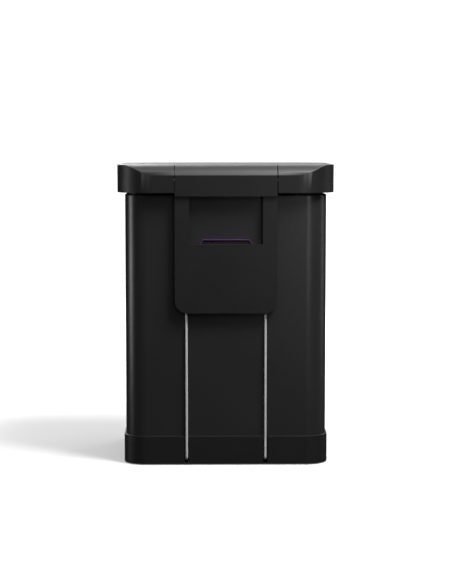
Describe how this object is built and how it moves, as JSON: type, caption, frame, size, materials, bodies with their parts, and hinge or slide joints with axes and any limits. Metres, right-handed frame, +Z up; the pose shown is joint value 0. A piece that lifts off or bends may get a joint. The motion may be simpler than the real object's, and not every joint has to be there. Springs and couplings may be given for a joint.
{
  "type": "trash compactor",
  "caption": "Black step-on bin with rounded corners, an overhanging lid with a fold-down press plate, a rear hinge housing with a hand opening, and steel link rods down the back.",
  "frame": {"origin": "middle of the bounding box at floor level", "axes": "+Z up, -Y towards the front where the pedal is, +Y towards the hinge housing and link rods, +X to the right seen from the front, looking along +Y"},
  "size_m": [0.478, 0.423, 0.66],
  "materials": {
    "base_plastic": "fine grained satin",
    "body_paint": "satin powder coat",
    "lid_plastic": "fine grained satin",
    "housing_plastic": "fine grained satin",
    "black_rubber": "matt",
    "bucket_plastic": "satin",
    "grey_plastic": "satin",
    "rod_steel": "bright drawn",
    "zinc_steel": "zinc plated",
    "dark_steel": "black coated",
    "purple_plastic": "gloss",
    "carbon_foam": "open-cell foam"
  },
  "bodies": {
    "cabinet": {"base_tray": "base_plastic", "base_bottom_cover": "base_plastic", "rubber_feet": "black_rubber", "base_screws": "zinc_steel", "pedal_pivot_pin": "zinc_steel", "pedal_return_spring": "zinc_steel", "body_shell": "body_paint", "rim_collar": "base_plastic", "inner_bucket": "bucket_plastic", "bag_ring": "grey_plastic", "hinge_housing": "housing_plastic", "handle_liner": "housing_plastic", "hinge_bushes": "grey_plastic", "soft_close_damper": "grey_plastic", "housing_screws": "zinc_steel", "rod_guides": "grey_plastic"},
    "lid": {"lid_shell": "lid_plastic", "lid_top_panel": "body_paint", "lid_liner": "lid_plastic", "lid_seal": "black_rubber", "hinge_stubs": "zinc_steel", "stub_clips": "dark_steel", "lift_cranks": "dark_steel", "upper_rails": "dark_steel", "torsion_springs": "zinc_steel", "rail_screws": "zinc_steel", "lock_guide": "lid_plastic"},
    "pedal": {"pedal_lever": "dark_steel", "pedal_pad": "base_plastic"},
    "link_rods": {"link_rod_left": "rod_steel", "link_rod_right": "rod_steel", "rod_end_caps": "black_rubber"},
    "press": {"press_plate": "bucket_plastic", "lower_rails": "dark_steel", "press_pad": "base_plastic"},
    "scissor_outer": {"scissor_outer_arms": "zinc_steel", "scissor_outer_rods": "zinc_steel"},
    "scissor_inner": {"scissor_inner_arms": "zinc_steel", "scissor_inner_rods": "zinc_steel"},
    "lock": {"press_lock": "purple_plastic"},
    "filter": {"filter_frame": "purple_plastic", "filter_pad": "carbon_foam"}
  },
  "joints": [
    {"name": "lid_hinge", "type": "hinge", "parent": "cabinet", "child": "lid", "pos_m": [0, 0.1995, 0.626], "axis": [-1, 0, 0], "range_deg": [0, 80]},
    {"name": "pedal_hinge", "type": "hinge", "parent": "cabinet", "child": "pedal", "pos_m": [0, 0.0015, 0.027], "axis": [1, 0, 0], "range_deg": [0, 8.96]},
    {"name": "rod_lift", "type": "slide", "parent": "cabinet", "child": "link_rods", "axis": [0, 0, 1], "range_m": [0, 0.0285]},
    {"name": "press_drop", "type": "slide", "parent": "lid", "child": "press", "axis": [0, 0, -1], "range_m": [0, 0.12], "stiffness_N_per_m": 70, "springref_m": -0.3},
    {"name": "scissor_outer_hinge", "type": "hinge", "parent": "lid", "child": "scissor_outer", "pos_m": [-0.15, 0.01962, 0.645], "axis": [0, 1, 0], "range_deg": [0, 24.05]},
    {"name": "scissor_inner_hinge", "type": "hinge", "parent": "press", "child": "scissor_inner", "pos_m": [-0.15, 0.01962, 0.6136], "axis": [0, -1, 0], "range_deg": [0, 24.05]},
    {"name": "press_lock_slide", "type": "slide", "parent": "lid", "child": "lock", "axis": [0, 1, 0], "range_m": [0, 0.006]},
    {"name": "filter_lift", "type": "slide", "parent": "cabinet", "child": "filter", "axis": [0, 0, 1], "range_m": [0, 0.05]}
  ],
  "couplings": [
    {"joint": "pedal_hinge", "follows": "lid_hinge", "ratio": 0.11141},
    {"joint": "rod_lift", "follows": "lid_hinge", "m_per_rad": 0.020256},
    {"joint": "scissor_outer_hinge", "follows": "press_drop", "rad_per_m": 3.4907},
    {"joint": "scissor_inner_hinge", "follows": "press_drop", "rad_per_m": 3.4907}
  ]
}
